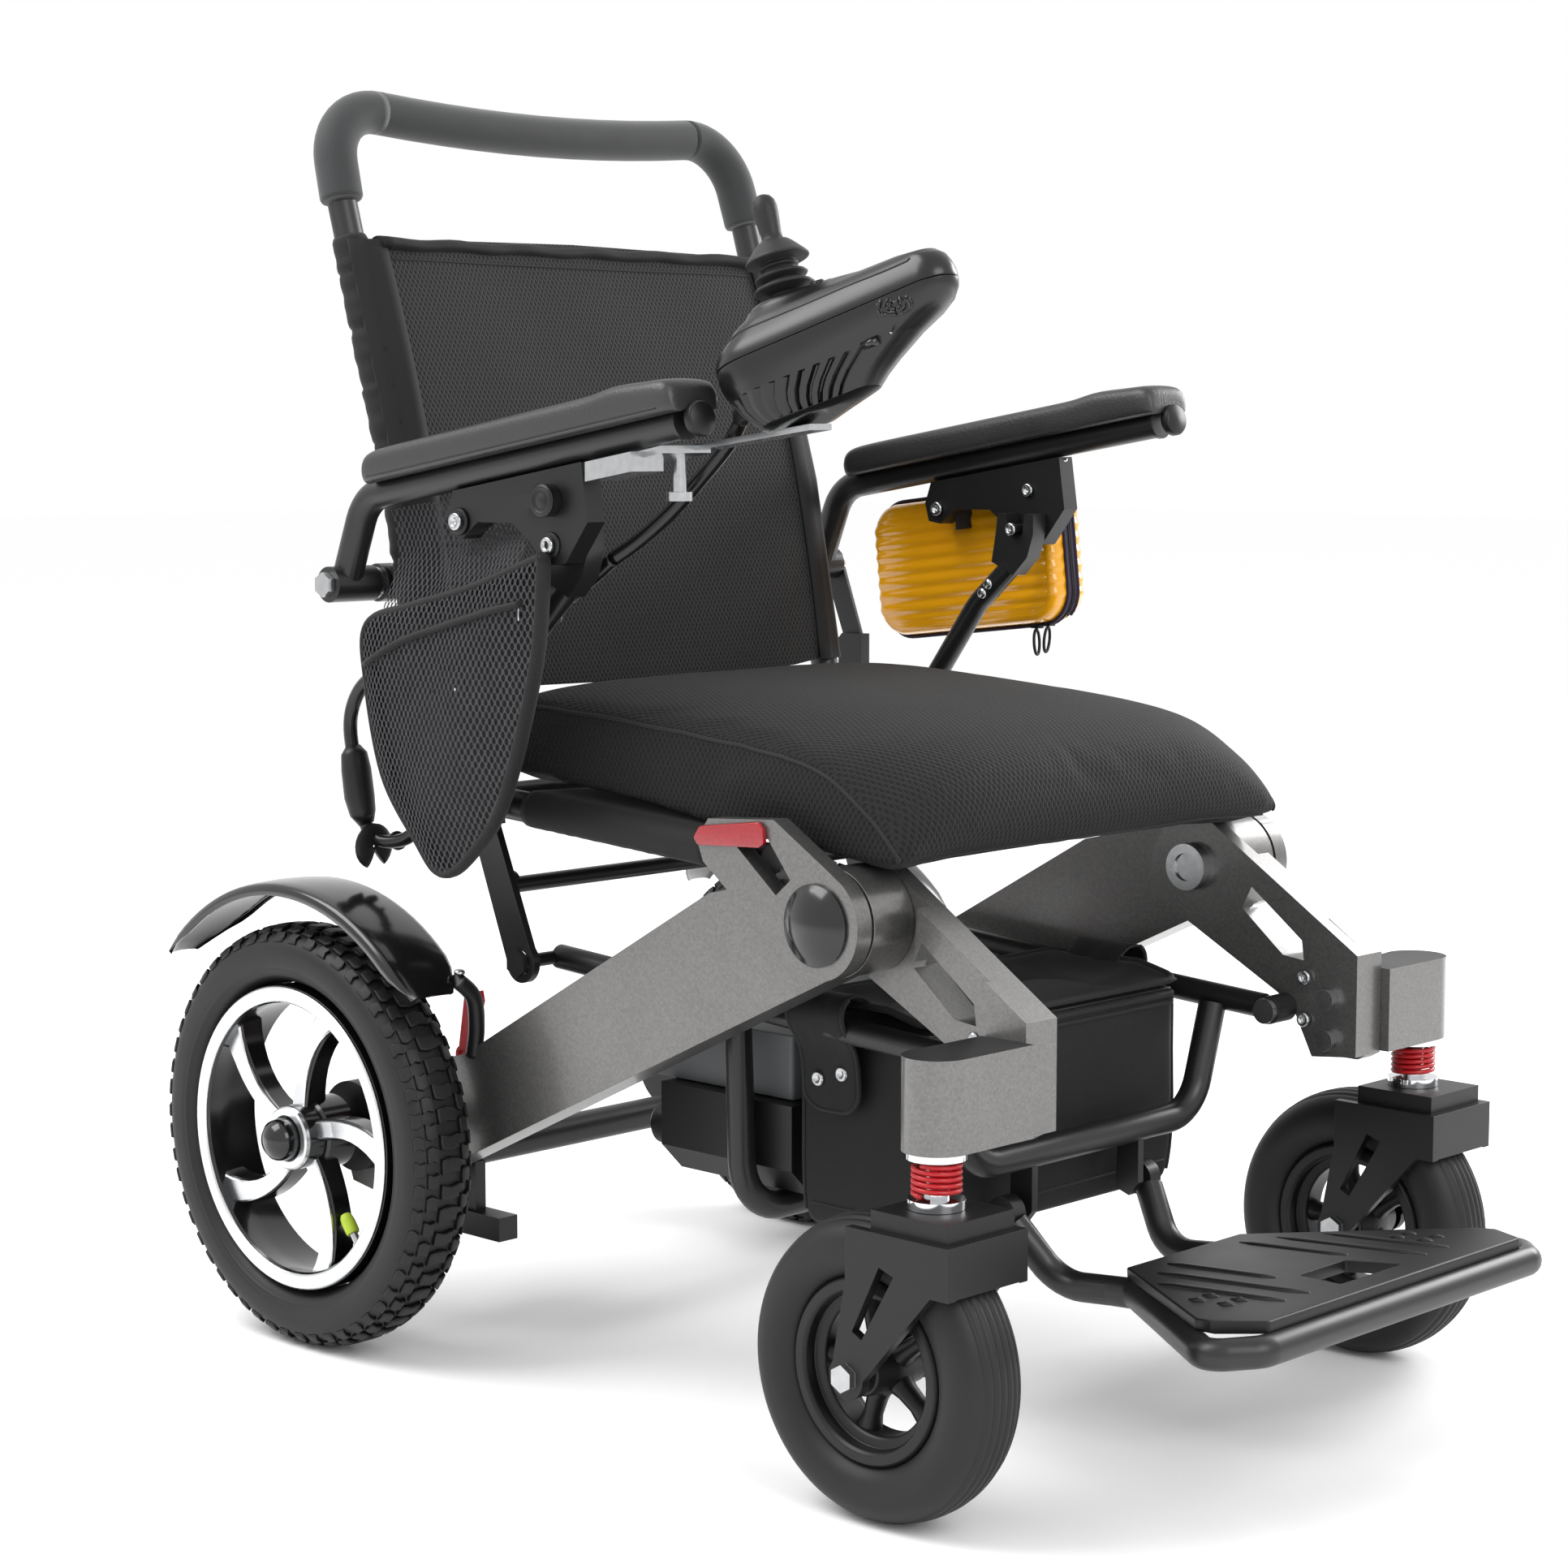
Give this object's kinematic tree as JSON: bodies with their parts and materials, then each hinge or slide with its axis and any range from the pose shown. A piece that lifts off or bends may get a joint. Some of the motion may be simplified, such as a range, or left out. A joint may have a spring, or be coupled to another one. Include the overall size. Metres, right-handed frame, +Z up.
{
  "type": "folding power wheelchair",
  "caption": "Folding power wheelchair with mesh seat and back, flip-up arms, joystick pod, sprung casters, folding side frames and flip-up footplate.",
  "frame": {"origin": "on the floor under the middle of the chair", "axes": "+Z up, the chair faces -Y, its left side is +X"},
  "size_m": [0.617, 0.946, 0.9304],
  "materials": {
    "black_frame": "satin powder coat",
    "gunmetal": "metallic satin paint",
    "bright_steel": "bright zinc",
    "chrome": "polished",
    "mesh_fabric": "spacer mesh",
    "twill_fabric": "nylon twill",
    "tyre_rubber": "matt",
    "foam_rubber": "matt closed-cell foam",
    "rim_alloy": "machined faces on black",
    "moulded_black": "fine texture",
    "gloss_black": "gloss",
    "reflector_red": "prismatic",
    "lever_red": "gloss",
    "spring_red": "gloss paint",
    "pad_skin": "grained polyurethane",
    "box_grey": "satin",
    "cable_rubber": "gloss sheath",
    "case_yellow": "gloss"
  },
  "bodies": {
    "seat": {"seat_frame": "black_frame", "seat_sling": "twill_fabric", "seat_cushion": "mesh_fabric", "cable_lower": "cable_rubber"},
    "front_frame": {"front_leg_right": "gunmetal", "front_leg_left": "gunmetal", "frame_bolts": "bright_steel", "caster_brackets": "gunmetal", "reflectors": "reflector_red", "caster_spring_right": "spring_red", "caster_spring_left": "spring_red"},
    "rear_frame": {"side_beams": "gunmetal", "rear_crossframe": "black_frame", "drive_motors": "moulded_black", "fenders": "gloss_black"},
    "links": {"fold_links": "black_frame"},
    "tray": {"tray_frame": "black_frame", "battery_pack": "moulded_black", "controller_box": "box_grey", "storage_bag": "twill_fabric"},
    "footrest": {"footrest_tube": "black_frame", "footrest_plate": "moulded_black"},
    "backrest": {"backrest_frame": "black_frame", "backrest_sling": "mesh_fabric", "push_grip": "foam_rubber"},
    "arm_right": {"arm_tube_right": "black_frame", "arm_pad_right": "pad_skin", "arm_bracket_right": "moulded_black", "pod_upper": "gloss_black", "pod_lower": "gloss_black", "pod_mount": "bright_steel", "cable_upper": "cable_rubber"},
    "arm_left": {"arm_tube_left": "black_frame", "arm_pad_left": "pad_skin", "arm_bracket_left": "moulded_black", "case_tray": "case_yellow"},
    "arm_carrier_right": {"arm_pivot_right": "bright_steel", "side_pocket": "mesh_fabric"},
    "arm_carrier_left": {"arm_pivot_left": "bright_steel"},
    "joystick_ring": {"joystick_gimbal": "bright_steel"},
    "joystick": {"joystick_lever": "moulded_black"},
    "case_door": {"case_lid": "case_yellow"},
    "post_right": {"arm_post_right": "black_frame"},
    "latch_right": {"arm_latch_right": "moulded_black"},
    "clutch_right": {"clutch_lever_right": "lever_red"},
    "stem_right": {"caster_stem_right": "chrome"},
    "fork_right": {"caster_fork_right": "moulded_black"},
    "caster_right": {"caster_tyre_right": "tyre_rubber", "caster_rim_right": "moulded_black"},
    "wheel_right": {"rear_tyre_right": "tyre_rubber", "rear_rim_right": "rim_alloy"},
    "post_left": {"arm_post_left": "black_frame"},
    "latch_left": {"arm_latch_left": "moulded_black"},
    "clutch_left": {"clutch_lever_left": "lever_red"},
    "stem_left": {"caster_stem_left": "chrome"},
    "fork_left": {"caster_fork_left": "moulded_black"},
    "caster_left": {"caster_tyre_left": "tyre_rubber", "caster_rim_left": "moulded_black"},
    "wheel_left": {"rear_tyre_left": "tyre_rubber", "rear_rim_left": "rim_alloy"}
  },
  "joints": [
    {"name": "frame_fold", "type": "hinge", "parent": "seat", "child": "front_frame", "pos_m": [0, -0.075, 0.398], "axis": [1, 0, 0], "range_deg": [0, 30]},
    {"name": "rear_fold", "type": "hinge", "parent": "front_frame", "child": "rear_frame", "pos_m": [0, -0.169, 0.362], "axis": [1, 0, 0], "range_deg": [-55.5, 0.5]},
    {"name": "tray_fold", "type": "hinge", "parent": "front_frame", "child": "tray", "pos_m": [0, -0.253, 0.269], "axis": [1, 0, 0], "range_deg": [-20.9, 0.5]},
    {"name": "link_fold", "type": "hinge", "parent": "seat", "child": "links", "pos_m": [0, 0.208, 0.402], "axis": [1, 0, 0], "range_deg": [-0.5, 38.9]},
    {"name": "back_fold", "type": "hinge", "parent": "seat", "child": "backrest", "pos_m": [0, 0.23, 0.44], "axis": [1, 0, 0], "range_deg": [0, 35]},
    {"name": "footrest_flip", "type": "hinge", "parent": "tray", "child": "footrest", "pos_m": [0, -0.197, 0.152], "axis": [1, 0, 0], "range_deg": [-78, 0]},
    {"name": "arm_carry_right", "type": "hinge", "parent": "backrest", "child": "arm_carrier_right", "pos_m": [-0.25, 0.284, 0.566], "axis": [1, 0, 0], "range_deg": [-11.1, 0.5]},
    {"name": "post_fold_right", "type": "hinge", "parent": "seat", "child": "post_right", "pos_m": [-0.233, 0.165, 0.43], "axis": [1, 0, 0], "range_deg": [-0.5, 33.8]},
    {"name": "arm_flip_right", "type": "hinge", "parent": "arm_carrier_right", "child": "arm_right", "pos_m": [-0.25, 0.284, 0.566], "axis": [1, 0, 0], "range_deg": [-70, 0]},
    {"name": "latch_turn_right", "type": "hinge", "parent": "arm_right", "child": "latch_right", "pos_m": [-0.25, 0.052, 0.63], "axis": [1, 0, 0], "range_deg": [0, 35], "stiffness_Nm_per_rad": 0.2, "springref_deg": -5.73},
    {"name": "caster_lift_right", "type": "slide", "parent": "front_frame", "child": "stem_right", "axis": [0, 0, 1], "range_m": [0, 0.012], "stiffness_N_per_m": 9000, "springref_m": -0.02, "deforming": ["caster_spring_right"]},
    {"name": "caster_swivel_right", "type": "hinge", "parent": "stem_right", "child": "fork_right", "pos_m": [-0.261, -0.298, 0.205], "axis": [0, 0, 1], "continuous": true},
    {"name": "caster_spin_right", "type": "hinge", "parent": "fork_right", "child": "caster_right", "pos_m": [-0.261, -0.257, 0.098], "axis": [1, 0, 0], "continuous": true},
    {"name": "wheel_spin_right", "type": "hinge", "parent": "rear_frame", "child": "wheel_right", "pos_m": [-0.262, 0.315, 0.158], "axis": [1, 0, 0], "continuous": true},
    {"name": "clutch_turn_right", "type": "hinge", "parent": "rear_frame", "child": "clutch_right", "pos_m": [-0.18, 0.24, 0.216], "axis": [1, 0, 0], "range_deg": [0, 25]},
    {"name": "arm_carry_left", "type": "hinge", "parent": "backrest", "child": "arm_carrier_left", "pos_m": [0.25, 0.284, 0.566], "axis": [1, 0, 0], "range_deg": [-11.1, 0.5]},
    {"name": "post_fold_left", "type": "hinge", "parent": "seat", "child": "post_left", "pos_m": [0.233, 0.165, 0.43], "axis": [1, 0, 0], "range_deg": [-0.5, 33.8]},
    {"name": "arm_flip_left", "type": "hinge", "parent": "arm_carrier_left", "child": "arm_left", "pos_m": [0.25, 0.284, 0.566], "axis": [1, 0, 0], "range_deg": [-70, 0]},
    {"name": "latch_turn_left", "type": "hinge", "parent": "arm_left", "child": "latch_left", "pos_m": [0.25, 0.052, 0.63], "axis": [1, 0, 0], "range_deg": [0, 35], "stiffness_Nm_per_rad": 0.2, "springref_deg": -5.73},
    {"name": "caster_lift_left", "type": "slide", "parent": "front_frame", "child": "stem_left", "axis": [0, 0, 1], "range_m": [0, 0.012], "stiffness_N_per_m": 9000, "springref_m": -0.02, "deforming": ["caster_spring_left"]},
    {"name": "caster_swivel_left", "type": "hinge", "parent": "stem_left", "child": "fork_left", "pos_m": [0.261, -0.298, 0.205], "axis": [0, 0, 1], "continuous": true},
    {"name": "caster_spin_left", "type": "hinge", "parent": "fork_left", "child": "caster_left", "pos_m": [0.261, -0.257, 0.098], "axis": [1, 0, 0], "continuous": true},
    {"name": "wheel_spin_left", "type": "hinge", "parent": "rear_frame", "child": "wheel_left", "pos_m": [0.262, 0.315, 0.158], "axis": [1, 0, 0], "continuous": true},
    {"name": "clutch_turn_left", "type": "hinge", "parent": "rear_frame", "child": "clutch_left", "pos_m": [0.18, 0.24, 0.216], "axis": [1, 0, 0], "range_deg": [0, 25]},
    {"name": "joystick_tilt", "type": "hinge", "parent": "arm_right", "child": "joystick_ring", "pos_m": [-0.208, -0.12245, 0.75309], "axis": [1, 0, 0], "range_deg": [-12, 12], "stiffness_Nm_per_rad": 0.9},
    {"name": "joystick_lean", "type": "hinge", "parent": "joystick_ring", "child": "joystick", "pos_m": [-0.208, -0.12245, 0.75309], "axis": [0, 0.9455, -0.3256], "range_deg": [-12, 12], "stiffness_Nm_per_rad": 0.9},
    {"name": "case_open", "type": "hinge", "parent": "arm_left", "child": "case_door", "pos_m": [0.29, 0.13877, 0.51435], "axis": [0, 0.9936, -0.1132], "range_deg": [0, 70]}
  ],
  "couplings": [
    {"joint": "rear_fold", "follows": "frame_fold", "ratio": -1.8333},
    {"joint": "tray_fold", "follows": "frame_fold", "ratio": -0.68},
    {"joint": "link_fold", "follows": "frame_fold", "ratio": 1.28},
    {"joint": "arm_carry_right", "follows": "back_fold", "ratio": -0.3},
    {"joint": "post_fold_right", "follows": "back_fold", "ratio": 0.95},
    {"joint": "arm_carry_left", "follows": "back_fold", "ratio": -0.3},
    {"joint": "post_fold_left", "follows": "back_fold", "ratio": 0.95}
  ]
}
